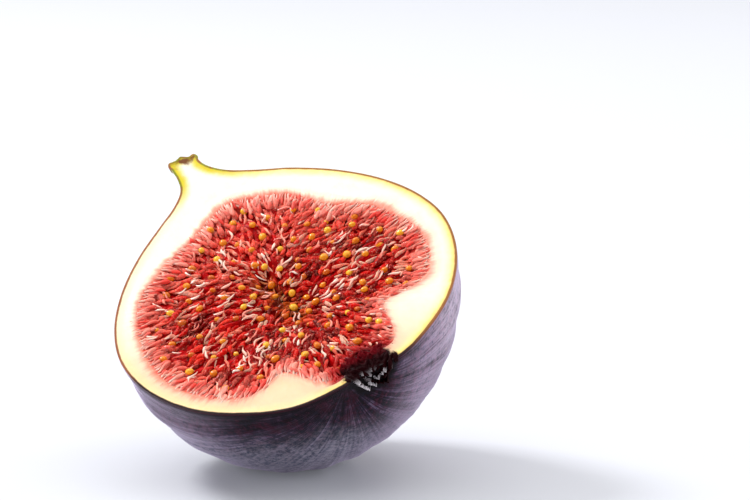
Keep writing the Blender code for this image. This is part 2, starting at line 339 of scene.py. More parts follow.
def skin_grid():
    stations = smooth_curve(OUTLINE, SKIN_STEPS)
    radius = np.array([s.x for s in stations])[:, None] * HALF_BREADTH
    y = np.array([s.y for s in stations])[:, None] * HALF_BREADTH
    turn = np.linspace(0, math.pi, SKIN_COLUMNS + 1)[None, :]
    return skin_points(radius, y, turn)


def bowl_grid():
    """The bowl in the wall that holds the pulp, from its edge on the cut to its lowest point."""
    angle = np.linspace(0, math.tau, PULP_COLUMNS, endpoint=False)
    rows = []
    for row in range(BOWL_ROWS):
        drop = math.pi / 2 * row / BOWL_ROWS
        reach = pulp_radius(angle, 1 - smoothstep(0.0, NOTCH_DROP, drop)) * math.cos(drop)
        depth = np.full_like(angle, -PULP_DEPTH * math.sin(drop))
        rows.append(np.stack([reach * np.cos(angle), reach * np.sin(angle), depth], axis=1))
    rows.append(np.repeat([[0.0, 0.0, -PULP_DEPTH]], PULP_COLUMNS, axis=0))
    return np.array(rows)


def face_points(outline, edge):
    """Points to build the cut face on, besides its two edges: rings along both, and an even field."""
    rings = [inset_line(outline, distance) for distance in FACE_RINGS]
    rings += [inset_line(edge, -distance) for distance in FACE_RINGS]
    xs = np.arange(-HALF_BREADTH, HALF_BREADTH, FACE_SPACING)
    ys = np.arange(-HALF_BREADTH, FACE_REACH * HALF_BREADTH, FACE_SPACING * FACE_ROW)
    field = np.array([(x + (k % 2) * FACE_SPACING / 2, y) for k, y in enumerate(ys) for x in xs])
    clear = np.minimum(distance_to(field, outline), distance_to(field, edge)) > FACE_CLEARANCE
    points = np.concatenate(rings + [field[clear]])
    return points[inside(points, outline) & ~inside(points, edge)]


def cut_face(outline, edge):
    """The pale ring of the cut face: its points and its triangles."""
    points = np.concatenate([outline, edge, face_points(outline, edge)])
    first = len(outline)
    borders = [(i, (i + 1) % first) for i in range(first)]
    borders += [(first + i, first + (i + 1) % len(edge)) for i in range(len(edge))]
    made = delaunay_2d_cdt([Vector(p) for p in points], borders, [], 1, TINY)
    flat = np.array([tuple(v) for v in made[0]])
    middles = np.array([flat[list(f)].mean(0) for f in made[2]])
    faces = [f for f, hidden in zip(made[2], inside(middles, edge)) if not hidden]
    return np.column_stack([flat, face_height(flat, outline, edge)]), faces


def face_height(flat, outline, edge):
    """The cut isn't dead flat: it sags a little between its edges and carries a fine grain."""
    from_edges = np.minimum(distance_to(flat, outline), distance_to(flat, edge))
    grain = noise_over(*flat.T, 0.0, GRAIN_SCALE)
    swell = noise_over(*flat.T, 3.0 * MM, SWELL_SCALE)
    return (0.035 * grain + 0.12 * swell - 0.12) * MM * smoothstep(0, FACE_FLAT, from_edges)


def noise_over(x, y, height, scale):
    return np.array([noise.noise(Vector((a, b, height)) * scale) for a, b in zip(x, y)])


def wall_mesh():
    """Skin, cut face and the hollow that holds the pulp, as one closed body, pressed flat below."""
    grid = skin_grid()
    rows, columns = grid.shape[:2]
    bowl = bowl_grid()
    outline = np.concatenate([grid[:, 0, :2], grid[-2:0:-1, -1, :2]])
    edge = bowl[0, :, :2]
    bm = bmesh.new()
    add_to(bm, grid.reshape(-1, 3), grid_faces(rows, columns, False), 0)
    add_to(bm, *cut_face(outline, edge), 1)
    add_to(bm, bowl.reshape(-1, 3), grid_faces(len(bowl), PULP_COLUMNS, True), 1)
    press_flat(bm)
    mesh = finish_mesh(bm, "fig_wall")
    points = points_of(mesh)
    mark(mesh, "from_skin", distance_to(points[:, :2], outline) / MM)
    mark(mesh, "from_red", from_red(points))
    mark(mesh, "around", np.arctan2(-points[:, 2], points[:, 0]) / math.pi)
    return mesh


def from_red(points):
    """How far outside the red each point lies, in millimetres, below nought inside it."""
    x, y = points[:, 0], points[:, 1]
    return (np.hypot(x, y) - red_radius(np.arctan2(y, x))) / MM


def press_flat(bm):
    """Cuts off what would lie below the floor, and closes the cut."""
    to_own = OWN.inverted()
    up = (to_own.to_3x3() @ Vector((0, 0, 1))).normalized()
    everything = list(bm.verts) + list(bm.edges) + list(bm.faces)
    floor = to_own @ Vector((0, 0, 0))
    cut = bmesh.ops.bisect_plane(bm, geom=everything, plane_co=floor, plane_no=-up, clear_outer=True)
    edges = [e for e in cut["geom_cut"] if isinstance(e, bmesh.types.BMEdge)]
    bmesh.ops.contextual_create(bm, geom=edges)


def bed_mesh():
    """The pulp's ground: ridges that run to the hollow, level with the cut face at its edge."""
    angle = np.linspace(0, math.tau, PULP_COLUMNS, endpoint=False)
    rows = []
    for share in np.linspace(0, 1, BED_RINGS) ** BED_CROWDING:
        reach = pulp_radius(angle) * share
        x, y = reach * np.cos(angle), reach * np.sin(angle)
        rim = 1 - smoothstep(BED_RISE, 1.0, reach / red_radius(angle))
        rows.append(np.stack([x, y, (hollow_top(x, y) + bed_relief(x, y)) * rim], axis=1))
    rows += list(bowl_grid()[1:] * BED_SHRINK)
    bm = bmesh.new()
    add_to(bm, np.concatenate(rows), grid_faces(len(rows), PULP_COLUMNS, True))
    mesh = finish_mesh(bm, "pulp_bed")
    points = points_of(mesh)
    mark(mesh, "from_red", from_red(points))
    mark(mesh, "core", 1 - smoothstep(CORE_FROM, CORE_TO, from_seam(points[:, 0], points[:, 1])))
    return mesh


def bed_relief(x, y):
    """The height of its lumps, and of ridges that run to the hollow."""
    away = np.stack([x - CAVITY.x, y - CAVITY.y], axis=1)
    reach = np.maximum(np.hypot(*away.T), TINY)
    ridges = [
        noise.noise(Vector((ahead * RIDGE_ROUND, aside * RIDGE_ROUND, r / MM * RIDGE_ALONG)))
        for (ahead, aside), r in zip(away / reach[:, None], reach)
    ]
    return (0.75 * np.array(ridges) + 0.35 * noise_over(x, y, 0.0, LUMP_SCALE) - 0.35) * MM


# ------------ grains: florets, threads and seeds
FLORETS = 1540
FLORETS_TO = 0.955  # share of the red's reach
FLORET_WIDTH = (0.5, 1.15)  # millimetres, as all the ranges here
FLORET_RISE = (-0.4, 0.15)  # over the core
TAIL_SUNK = 0.25 * MM
PALE_THINNER = 0.45  # share of its width that a pale floret lacks
FRINGE = 520
FRINGE_LENGTH = (1.6, 3.4)
FRINGE_WIDTH = (0.34, 0.85)
FRINGE_REACH = (-1.1, 0.7)  # how far outside the red a tail lies
TUFTS = 56
TUFT_THREADS = (1, 2, 4, 5, 6)
TUFT_SPREAD = 1.1
# Fuller tufts: (x, y and spread in millimetres, threads)
FULL_TUFTS = (
    (-10.2, -11.2, 2.4, 17), (9.5, -3.4, 1.6, 7), (1.8, -16.2, 1.4, 6),
    (-11.6, 3.5, 1.8, 6), (6.1, 14.0, 2.0, 6),
)
THREAD_LENGTH = (1.2, 2.8)
THREAD_WIDTH = (0.26, 0.5)
THREAD_RISE = (0.05, 0.4)
SEED_ZONES = ((0.0, 0.3, 20), (0.3, 0.9, 96))  # (from and to, in shares of the red's reach, seeds)
SEED_LENGTH = (1.15, 1.65)
SEED_RISE = (-0.05, 0.35)
GOLDEN_ANGLE = math.radians(137.508)
JITTER = 0.06  # radians, of the spiral
SWIRL = 0.75  # radians by which the florets' flow wanders
SWIRL_SCALE = 170  # per metre
CLUMPS = 0.9  # strength of the darker and paler clumps
CLUMP_SCALE = 270  # per metre
SEAM_INSET = 0.12  # share of the seam at each end that no grain points to
SEAM_CLOSE = 0.3 * MM  # nearer than this, a grain points to the stalk
GRAINS_RISE = 0.84  # share of the red's reach where they rise to the cut
COARSE_LUMPS, FINE_LUMPS = 800, 2300  # per metre


def grain_template(sides, stations):
    """Rings of (share of length, share of width) along +Y, closed by a point at each end."""
    angle = np.linspace(0, math.tau, sides, endpoint=False)
    points = [(0.0, 0.0, 0.0)]
    for along, across in stations:
        points += [(across / 2 * math.cos(a), along, across / 2 * math.sin(a)) for a in angle]
    points.append((0.0, 1.0, 0.0))
    last = len(points) - 1
    faces = []
    for i in range(sides):
        j = (i + 1) % sides
        faces.append((0, 1 + i, 1 + j))
        for start in range(1, last - sides, sides):
            faces.append((start + j, start + i, start + sides + i, start + sides + j))
        faces.append((last - sides + j, last - sides + i, last))
    return np.array(points), faces


FLORET = grain_template(8, (
    (0.03, 0.24), (0.15, 0.4), (0.35, 0.56), (0.52, 0.84),
    (0.68, 1.0), (0.82, 0.94), (0.93, 0.66), (0.98, 0.36),
))
THREAD = grain_template(6, (
    (0.03, 0.3), (0.12, 0.62), (0.25, 0.9), (0.4, 1.0),
    (0.55, 0.86), (0.7, 0.66), (0.85, 0.5), (0.96, 0.3),
))
SEED = grain_template(10, ((0.03, 0.34), (0.12, 0.66), (0.3, 0.94), (0.5, 1.0), (0.72, 0.8), (0.9, 0.42)))


class Grain:
    """One floret, thread or seed: where it lies, its size and bends, and what colours it."""

    def __init__(self, tail, head, length, width, depth=1.0, bend=0.0, arch=0.0, wave=0.0):
        self.tail, self.head = tail, head
        self.length, self.width, self.depth = length, width, width * depth
        self.bend, self.arch, self.wave = bend, arch, wave
        middle = (tail + head) / 2
        clump = CLUMPS * noise.noise(middle * CLUMP_SCALE)
        self.tint = min(1.0, max(0.0, random.random() + clump))
        self.margin = share_out(middle)
        self.core = 1 - float(smoothstep(CORE_FROM, CORE_TO, from_seam(middle.x, middle.y)))

    def points(self, shape):
        along = shape[:, 1]
        sway = self.bend * (along**2 - along) + self.wave * np.sin(math.tau * along)
        x = shape[:, 0] * self.width + sway * self.length
        z = shape[:, 2] * self.depth + self.arch * self.length * (along - along**2)
        turn = np.array((self.head - self.tail).to_track_quat("Y", "Z").to_matrix())
        return np.stack([x, along * self.length, z], axis=1) @ turn.T + np.array(self.tail)


def grains_mesh(name, template, grains, lumps):
    """One mesh of a copy of the template for each grain, with soft lumps of a given height."""
    shape, faces = template
    size = len(shape)
    points = np.concatenate([grain.points(shape) for grain in grains])
    points += [lumps * lumpiness(point) for point in map(Vector, points)]
    polygons = [tuple(i + k * size for i in face) for k in range(len(grains)) for face in faces]
    mesh = bpy.data.meshes.new(name)
    mesh.from_pydata(points.tolist(), [], polygons)
    mark(mesh, "along", np.tile(shape[:, 1], len(grains)))
    for label in ("tint", "margin", "core"):
        mark(mesh, label, np.repeat([getattr(grain, label) for grain in grains], size))
    return mesh


def lumpiness(point):
    return noise.noise_vector(point * COARSE_LUMPS) + noise.noise_vector(point * FINE_LUMPS) / 2


def between(limits):
    """A random length between two numbers of millimetres."""
    return random.uniform(*limits) * MM


def either_way(most):
    return random.uniform(-most, most)


def share_out(point):
    """How far out a point lies, as a share of the red's reach."""
    return point.length / float(red_radius(math.atan2(point.y, point.x)))


def on_pulp(angle, share):
    reach = share * float(red_radius(angle))
    return Vector((reach * math.cos(angle), reach * math.sin(angle), 0))


def to_seam(point):
    """The way from a point to the line that the florets point to, as a unit vector."""
    start, run = SEAM[0], SEAM[1] - SEAM[0]
    share = max(0.0, min(1.0, (point - start).dot(run) / run.length_squared))
    way = start + run * (SEAM_INSET + (1 - 2 * SEAM_INSET) * share) - point
    return way.normalized() if way.length > SEAM_CLOSE else Vector((0, 1, 0))


def scatter(count, inner, outer):
    """Places in a jittered spiral, between two shares of the red's reach."""
    for k in range(count):
        share = math.sqrt(inner**2 + (outer**2 - inner**2) * (k + random.random()) / count)
        yield on_pulp((k * GOLDEN_ANGLE + either_way(JITTER)) % math.tau, share)


def laid(middle, length, swing, rise):
    """Tail and head of a grain that lies over the core and points, more or less, to the hollow."""
    inwards = to_seam(middle)
    swirl = SWIRL * noise.noise(Vector((middle.x, middle.y, 0.03)) * SWIRL_SCALE)
    inwards.rotate(Matrix.Rotation(swirl + random.gauss(0, swing), 3, "Z"))
    tail, head = middle - inwards * length / 2, middle + inwards * length / 2
    for end in (tail, head):
        rim = 1 - float(smoothstep(GRAINS_RISE, 1.0, share_out(end)))
        end.z = float(hollow_top(end.x, end.y)) * rim + rise
    return tail, head


def floret_grains():
    """Florets all over the red, longer towards its edge, the pale ones slimmer."""
    grains = []
    for middle in scatter(FLORETS, 0.0, FLORETS_TO):
        length = (1.7 + 1.3 * share_out(middle) + random.uniform(-0.5, 0.9)) * MM
        width = between(FLORET_WIDTH)
        tail, head = laid(middle, length, 0.4, between(FLORET_RISE))
        tail.z -= TAIL_SUNK
        bend, wave = either_way(0.5), either_way(0.06)
        grain = Grain(tail, head, length, width, 0.75, bend, 0.06, wave)
        grain.width *= 1 - PALE_THINNER * float(smoothstep(0.68, 0.8, grain.tint))
        grains.append(grain)
    return grains


def fringe_grains():
    """Short pale stems at the pulp's edge, which rise out of the flesh."""
    grains = []
    for k in range(FRINGE):
        edge = on_pulp(math.tau * (k + random.random()) / FRINGE, 1.0)
        inwards = to_seam(edge)
        inwards.rotate(Matrix.Rotation(random.gauss(0, 0.16), 3, "Z"))
        length = between(FRINGE_LENGTH)
        tail = edge - inwards * random.uniform(*FRINGE_REACH) * MM
        head = tail + inwards * length
        width = between(FRINGE_WIDTH)
        tail.z, head.z = -0.16 * width, between((-0.6, -0.1))
        bend, wave = either_way(0.3), either_way(0.05)
        grains.append(Grain(tail, head, length, width, 0.75, bend, 0.04, wave))
    return grains


def thread_grains():
    """Pale threads, most of them in tufts."""
    grains = []
    tufts = [(spot, TUFT_SPREAD, random.choice(TUFT_THREADS)) for spot in scatter(TUFTS, 0.1, 0.93)]
    tufts += [(Vector((x, y, 0)) * MM, spread, count) for x, y, spread, count in FULL_TUFTS]
    for middle, spread, count in tufts:
        swing = random.gauss(0, 0.35)
        for _ in range(count):
            place = middle + Vector((random.gauss(0, spread), random.gauss(0, spread), 0)) * MM
            if share_out(place) > 0.95:
                continue
            length = between(THREAD_LENGTH)
            width = between(THREAD_WIDTH)
            tail, head = laid(place, length, 0.45, between(THREAD_RISE))
            bend, wave = swing + either_way(0.6), either_way(0.09)
            grains.append(Grain(tail, head, length, width, 0.9, bend, random.uniform(0.0, 0.2), wave))
    return grains


def seed_grains():
    grains = []
    for inner, outer, count in SEED_ZONES:
        for middle in scatter(count, inner, outer):
            length = between(SEED_LENGTH)
            tail, head = laid(middle, length, 0.5, between(SEED_RISE))
            head.z += either_way(0.3) * MM
            grains.append(Grain(tail, head, length, length * random.uniform(0.7, 0.88), 0.8))
    return grains


# ------------ the eye's scales
# Arcs round the pore: (distance from it, scales, their lean over it in degrees)
SCALE_ARCS = ((4.1 * MM, 16, 40), (3.2 * MM, 13, 52), (2.2 * MM, 9, 64))
LEAN_VARIES = 14  # degrees
SCALE_LENGTH, SCALE_WIDTH = (1.8, 2.6), (1.1, 1.7)  # millimetres
CUT_SCALES = 125
CUT_SCALE_LENGTH, CUT_SCALE_WIDTH = (1.0, 2.0), (0.6, 1.2)  # millimetres
CUT_SCALES_SUNK = 0.1 * MM
SCALE_ROWS = 7
SCALE_COLUMNS = 5
SCALE_THICKNESS = 0.2 * MM


def scale_mesh_points(length, width):
    """A pointed, cupped scale along +Y, both sides of it, with each point's share of the length."""
    rows = []
    for along in np.linspace(0, 1, SCALE_ROWS):
        half = width / 2 * math.sin(math.pi * min(0.97, 0.22 + 0.75 * along)) ** 0.8
        for side in np.linspace(-1, 1, SCALE_COLUMNS):
            cup = -0.28 * width * side**2 + 0.16 * length * along**2
            rows.append((half * side, length * along, cup, along))
    top = np.array(rows)
    offset = np.array([0, 0, SCALE_THICKNESS, 0])
    return np.concatenate([top, top - offset])


def scale_faces():
    size = SCALE_ROWS * SCALE_COLUMNS
    top = grid_faces(SCALE_ROWS, SCALE_COLUMNS, False)
    rim = list(range(SCALE_COLUMNS))
    rim += [SCALE_COLUMNS * k - 1 for k in range(2, SCALE_ROWS + 1)]
    rim += [size - 1 - i for i in range(1, SCALE_COLUMNS)]
    rim += [SCALE_COLUMNS * k for k in range(SCALE_ROWS - 2, 0, -1)]
    sides = [(b, a, a + size, b + size) for a, b in zip(rim, rim[1:] + rim[:1])]
    return top + [tuple(i + size for i in face[::-1]) for face in top] + sides


def outer_scales():
    """Scales that stand round the pore on the skin: a matrix, length, width and dust for each."""
    for reach, count, lean in SCALE_ARCS:
        for i in range(count):
            angle = -math.pi * (i + random.uniform(0.3, 0.7)) / count
            root = Vector((EYE.x, EYE_OUTER_Y + 0.6 * MM, 0))
            root += Vector((math.cos(angle), 0, math.sin(angle))) * reach
            turn = Matrix.Translation(root) @ Matrix.Rotation(-angle - math.pi / 2, 4, "Y")
            tilt = math.radians(lean + either_way(LEAN_VARIES))
            turn @= Matrix.Rotation(math.pi - tilt, 4, "X")
            dusty = 1.0 - 0.5 * math.cos(angle)  # more to the left of the pore
            yield turn, between(SCALE_LENGTH), between(SCALE_WIDTH), dusty


def cut_scales():
    """Scales that the knife laid bare: they lie on the cut, between the skin and the pulp."""
    for _ in range(CUT_SCALES):
        inwards = random.random()
        aside = either_way(1) * (3.8 - 0.9 * inwards) * MM
        y = EYE_OUTER_Y + (3.6 * inwards - 0.7) * MM
        turn = Matrix.Translation((EYE.x + aside, y, -CUT_SCALES_SUNK))
        turn @= Matrix.Rotation(-60 * aside + random.gauss(0, 0.35), 4, "Z")
        turn @= Matrix.Rotation(random.uniform(-0.05, 0.3), 4, "X")
        turn @= Matrix.Rotation(either_way(0.9), 4, "Y")
        yield turn, between(CUT_SCALE_LENGTH), between(CUT_SCALE_WIDTH), 0.0


def eye_mesh():
    faces = scale_faces()
    points, polygons, dust, along = [], [], [], []
    for turn, length, width, dusty in list(outer_scales()) + list(cut_scales()):
        scale = scale_mesh_points(length, width)
        first = len(polygons) // len(faces) * len(scale)
        points.append(scale[:, :3] @ np.array(turn.to_3x3()).T + np.array(turn.translation))
        polygons += [tuple(i + first for i in face) for face in faces]
        dust.append(np.full(len(scale), dusty * random.random()))
        along.append(scale[:, 3])
    mesh = bpy.data.meshes.new("eye_scales_fine")
    mesh.from_pydata(np.concatenate(points).tolist(), [], polygons)
    mark(mesh, "dust", np.concatenate(dust))
    mark(mesh, "along", np.concatenate(along))
    return mesh


# ------------ materials
def rgb(red, green, blue):
    """A screen colour of 0 to 255 a channel as linear red, green, blue and alpha."""
    shares = [c / 255 for c in (red, green, blue)]
    return (*(c / 12.92 if c < 0.04045 else ((c + 0.055) / 1.055) ** 2.4 for c in shares), 1.0)


class Graph:
    """A material's node tree, with a short call for each kind of node. Its lengths are millimetres."""

    def __init__(self, name, **constants):
        self.material = bpy.data.materials.new(name)
        self.material.use_nodes = True
        self.tree = self.material.node_tree
        self.shader = self.tree.nodes["Principled BSDF"]
        for socket, value in constants.items():
            self.set(socket.replace("_", " "), value)

    def node(self, kind, inputs=(), **settings):
        made = self.tree.nodes.new("ShaderNode" + kind)
        for key, value in settings.items():
            setattr(made, key, value)
        for key, value in dict(inputs).items():
            self.put(made.inputs[key], value)
        return made

    def put(self, socket, value):
        if isinstance(value, bpy.types.NodeSocket):
            self.tree.links.new(value, socket)
        else:
            socket.default_value = value

    def set(self, socket, value):
        self.put(self.shader.inputs[socket], value)

    def finished(self, colour):
        self.set("Base Color", colour)
        return self.material

    def glow_inside(self, weight, depth, radius):
        """Light scattered under the surface: its share, its depth, and each channel's part of that."""
        self.set("Subsurface Weight", weight)
        self.set("Subsurface Scale", depth * MM)
        self.set("Subsurface Radius", radius)

    def attribute(self, name):
        return self.node("Attribute", attribute_name=name).outputs["Fac"]

    def place(self):
        """Where the point is in the fig's own frame."""
        return self.node("Attribute", attribute_name="place").outputs["Vector"]

    def axes(self):
        return self.node("SeparateXYZ", {"Vector": self.place()}).outputs

    def noise(self, scale, detail=2.0, roughness=0.5, at=None):
        inputs = {"Vector": at or self.place(), "Scale": scale, "Detail": detail, "Roughness": roughness}
        return self.node("TexNoise", inputs).outputs["Fac"]

    def math(self, operation, first, second=0.0):
        return self.node("Math", {0: first, 1: second}, operation=operation).outputs[0]

    def plus(self, first, second):
        return self.math("ADD", first, second)

    def times(self, first, second):
        return self.math("MULTIPLY", first, second)

    def shifted(self, value, pattern, amount):
        """The value, moved up and down by a pattern around its middle."""
        return self.plus(value, self.times(self.math("SUBTRACT", pattern, 0.5), amount))

    def fade(self, value, low, high):
        """0 at low and 1 at high, with a soft change between them; high may be the lower one."""
        inputs = {"Value": value, "From Min": low, "From Max": high}
        return self.node("MapRange", inputs, interpolation_type="SMOOTHSTEP").outputs[0]

    def spread(self, value, low, high):
        """A value of 0 to 1, brought to run from low to high."""
        return self.node("MapRange", {"Value": value, "To Min": low, "To Max": high}).outputs[0]

    def vector(self, x, y, z=0.0):
        return self.node("CombineXYZ", {"X": x, "Y": y, "Z": z}).outputs[0]

    def vector_math(self, operation, *vectors):
        return self.node("VectorMath", enumerate(vectors), operation=operation).outputs

    def ramp(self, value, *stops):
        made = self.node("ValToRGB", {"Fac": value})
        elements = made.color_ramp.elements
        while len(elements) < len(stops):
            elements.new(0.5)
        for element, (place, colour) in zip(elements, stops):
            element.position = place
            element.color = colour
        return made.outputs["Color"]

    def mix(self, share, first, second):
        made = self.node("Mix", data_type="RGBA")
        for key, value in {0: share, 6: first, 7: second}.items():
            self.put(made.inputs[key], value)
        return made.outputs[2]

    def over(self, colour, new, where, strength=None):
        """A colour with a new one laid over it where a mask says so, at full strength or at less."""
        return self.mix(self.times(where, strength) if strength else where, colour, new)

    def bump(self, height, strength, distance):
        inputs = {"Height": height, "Strength": strength, "Distance": distance * MM}
        self.set("Normal", self.node("Bump", inputs).outputs["Normal"])

    def from_hollow(self):
        """Direction and distance from the pulp's hollow, along the cut face."""
        x, y, _ = self.axes()
        away = self.vector(self.math("SUBTRACT", x, CAVITY.x / MM), self.math("SUBTRACT", y, CAVITY.y / MM))
        return self.vector_math("NORMALIZE", away)[0], self.vector_math("LENGTH", away)["Value"]

    def near_eye(self, low, high):
        """1 close to the eye and 0 away from it."""
        off = self.vector_math("DISTANCE", self.place(), tuple(EYE / MM))["Value"]
        return self.fade(self.shifted(off, self.noise(1.1, 3), 2.2), high, low)


def skin_material():
    g = Graph("fig_skin", IOR=1.25, Specular_IOR_Level=0.25, Sheen_Weight=0.8, Sheen_Roughness=0.3)
    g.set("Sheen Tint", rgb(222, 206, 240))
    fine, streaks = skin_streaks(g)
    mottle = g.noise(0.75, 5, 0.65)
    spots = g.noise(1.5, 5, 0.75)
    colour = dark_skin_with_painted_light(g, fine, streaks, mottle, spots)
    colour = g.over(colour, wax_with_painted_highlight(g, fine, spots), wax_bloom_and_painted_light(g, streaks, mottle))
    neck = g.fade(g.shifted(g.axes()[1], streaks, 22.0), 24, 33)
    colour = g.over(colour, g.mix(fine, rgb(128, 92, 36), rgb(186, 178, 62)), neck)
    colour = torn_end(g, colour, mottle, 37.6, rgb(94, 46, 12), rgb(122, 128, 22))
    colour = g.over(colour, rgb(196, 172, 130), skin_specks(g))
    colour = painted_shade_and_cut_edge(g, colour, mottle)
    g.set("Roughness", g.spread(mottle, 0.3, 0.5))
    g.bump(g.plus(streaks, g.times(mottle, 0.5)), 0.35, 0.35)
    return g.finished(g.over(colour, rgb(8, 2, 4), g.near_eye(3.4, 5.0)))


def skin_streaks(g):
    """Patterns drawn out from the eye to the stalk: the fine one, and both together."""
    around, y = g.attribute("around"), g.axes()[1]
    broad = g.noise(1.0, 4, 0.6, g.vector(g.times(around, 24), g.times(y, 0.045)))
    fine = g.noise(1.0, 4, 0.65, g.vector(g.times(around, 110), g.times(y, 0.2)))
    return fine, g.plus(g.times(broad, 0.5), g.times(fine, 0.5))


def dark_skin_with_painted_light(g, fine, streaks, mottle, spots):
    """The skin without its wax: near black, purple streaks, wine-red and slate patches, with a painted
    floor reflection low down and painted shade under the cut.
    """
    x, _, z = g.axes()
    colour = g.ramp(
        g.shifted(streaks, mottle, 0.4),
        (0.37, rgb(2, 0, 1)),
        (0.46, rgb(18, 5, 16)),
        (0.55, rgb(54, 38, 58)),
        (0.66, rgb(128, 114, 142)),
    )
    wine = g.fade(g.noise(0.42, 4, 0.6), 0.5, 0.66)
    colour = g.over(colour, rgb(66, 10, 30), wine, 0.45)
    colour = g.over(colour, rgb(96, 40, 66), g.fade(spots, 0.52, 0.64), 0.5)
    colour = g.over(colour, rgb(34, 38, 58), g.fade(spots, 0.48, 0.38), 0.5)
    colour = painted_floor_reflection(g, colour, fine, spots)
    # painted shade: near black just under the cut, but for the right
    painted_shade_under_cut = g.times(g.fade(g.shifted(z, mottle, 6.0), -8, -2), g.fade(x, 12, 2))
    return g.over(colour, g.mix(wine, rgb(2, 0, 1), rgb(38, 2, 14)), painted_shade_under_cut, 0.55)


def painted_floor_reflection(g, colour, fine, spots):
    """Painted reflection of the floor: slate blue low down; in front it reaches higher and is bolder."""
    x, y, z = g.axes()
    front = g.fade(g.plus(x, g.times(y, 0.4)), -1, -13)
    height = g.plus(z, g.times(front, -6.0))
    # painted floor reflection: slate blue where the skin is low
    low = g.fade(g.shifted(height, g.noise(0.3, 4, 0.6), 9.0), -10, -22)
    patch = g.fade(g.shifted(spots, fine, 0.5), 0.34, 0.66)
    bold = g.mix(patch, rgb(66, 76, 98), rgb(174, 168, 184))
    faint = g.mix(patch, rgb(58, 56, 80), rgb(124, 114, 138))
    return g.over(colour, g.mix(front, faint, bold), low, 0.85)


def wax_with_painted_highlight(g, fine, spots):
    """The wax's own colour, with rosy and bluish spots, and a painted highlight high up on the right."""
    x, _, z = g.axes()
    wax = g.mix(fine, rgb(116, 93, 122), rgb(190, 170, 194))
    # painted highlight: paler wax high up on the right
    high = g.times(g.fade(x, 13, 22), g.fade(z, -15, -5))
    wax = g.over(wax, rgb(228, 210, 226), high, 0.55)
    wax = g.over(wax, rgb(160, 104, 142), g.fade(spots, 0.5, 0.66), 0.5)
    return g.over(wax, rgb(96, 98, 134), g.fade(spots, 0.5, 0.34), 0.6)


def wax_bloom_and_painted_light(g, streaks, mottle):
    """Where the wax is, worn off in streaks: thin behind, and laid on thick to the right and thinner to the
    left as painted light from those sides.
    """
    x, y, z = g.axes()
    # painted light from the right and the left, as thicker wax on those sides
    right = g.times(g.fade(g.plus(x, g.times(z, -0.4)), 7, 18), 0.88)
    right = g.times(right, g.plus(g.times(g.fade(y, 15, 1), 0.55), 0.45))
    left = g.times(g.fade(x, -16, -26), 0.36)
    back = g.times(g.fade(y, -8, 12), 0.2)
    reach = g.math("MAXIMUM", g.math("MAXIMUM", right, left), back)
    return g.times(reach, g.fade(g.shifted(streaks, mottle, 0.5), 0.26, 0.6))


def skin_specks(g):
    """Small pale pores, sparse over the skin."""
    speck = g.node("TexVoronoi", {"Vector": g.place(), "Scale": 0.27}).outputs
    dot = g.fade(speck["Distance"], 0.1, 0.06)
    rare = g.fade(g.node("SeparateXYZ", {"Vector": speck["Color"]}).outputs["X"], 0.55, 0.6)
    return g.times(g.times(dot, rare), 0.7)


def painted_shade_and_cut_edge(g, colour, mottle):
    """Painted shade, black just under the cut but for the right and the neck; and the skin's own cut edge.
    """
    x, y, z = g.axes()
    part = g.times(g.fade(y, 16, 2), g.fade(x, 15, 4))
    # painted shade: black just under the cut
    rim = g.times(g.fade(g.shifted(z, mottle, 0.8), -1.5, -0.2), part)
    colour = g.over(colour, rgb(8, 0, 3), rim, 0.9)
    lip = g.times(g.fade(z, -0.5, -0.2), g.fade(y, 22, 12))
    return g.over(colour, g.mix(warm_rim(g), rgb(48, 4, 20), rgb(146, 84, 52)), lip)


def warm_rim(g):
    """1 where the skin's cut edge is brown, to the right and towards the stalk, 0 where it is black."""
    x, y, _ = g.axes()
    return g.math("MAXIMUM", g.fade(y, -7, -1), g.fade(x, 10, 17))


def torn_end(g, colour, pattern, full, first, second):
    """Patches of two colours at the stalk's torn end, with nothing else beyond a given y."""
    tip = g.fade(g.shifted(g.axes()[1], pattern, 5.0), 36.0, full)
    return g.over(colour, g.mix(g.fade(pattern, 0.42, 0.58), first, second), tip)


def flesh_material():
    g = Graph("fig_flesh", Roughness=0.42, IOR=1.25, Specular_IOR_Level=0.25)
    g.glow_inside(0.3, 1.4, (1.0, 0.7, 0.4))
    wobble = g.noise(0.5, 4, 0.6)
    colour = flesh_by_skin(g, pale_flesh(g, wobble), wobble)
    colour = torn_end(g, colour, wobble, 38.0, rgb(186, 170, 20), rgb(112, 62, 14))
    colour = g.over(colour, rgb(30, 0, 5), g.near_eye(4.0, 5.0))
    g.bump(g.plus(wobble, g.times(flesh_rays(g), 0.6)), 0.3, 0.25)
    return g.finished(skin_line(g, colour, wobble))


def flesh_rays(g):
    """Fine streaks that run away from the hollow."""
    return g.noise(26, 4, 0.65, g.from_hollow()[0])


def pale_flesh(g, wobble):
    """The flesh's own cream, with painted shade as a warmer, darker cream low down on the left, and a blush
    next to the red.
    """
    pale = g.mix(wobble, rgb(255, 250, 232), rgb(253, 241, 210))
    x, y, _ = g.axes()
    # painted shade: warmer, darker cream low down on the left
    low = g.fade(g.plus(y, g.times(x, 0.5)), -3, -19)
    colour = g.over(pale, g.mix(wobble, rgb(250, 218, 182), rgb(245, 204, 162)), low)
    patches = g.noise(3.2, 2, at=g.from_hollow()[0])
    off = g.shifted(g.shifted(g.attribute("from_red"), flesh_rays(g), 2.6), patches, 2.4)
    colour = g.over(colour, rgb(252, 196, 170), g.fade(off, 2.2, -0.4), 0.55)
    return g.over(colour, rgb(247, 138, 116), g.fade(off, 0.9, -0.5), 0.85)


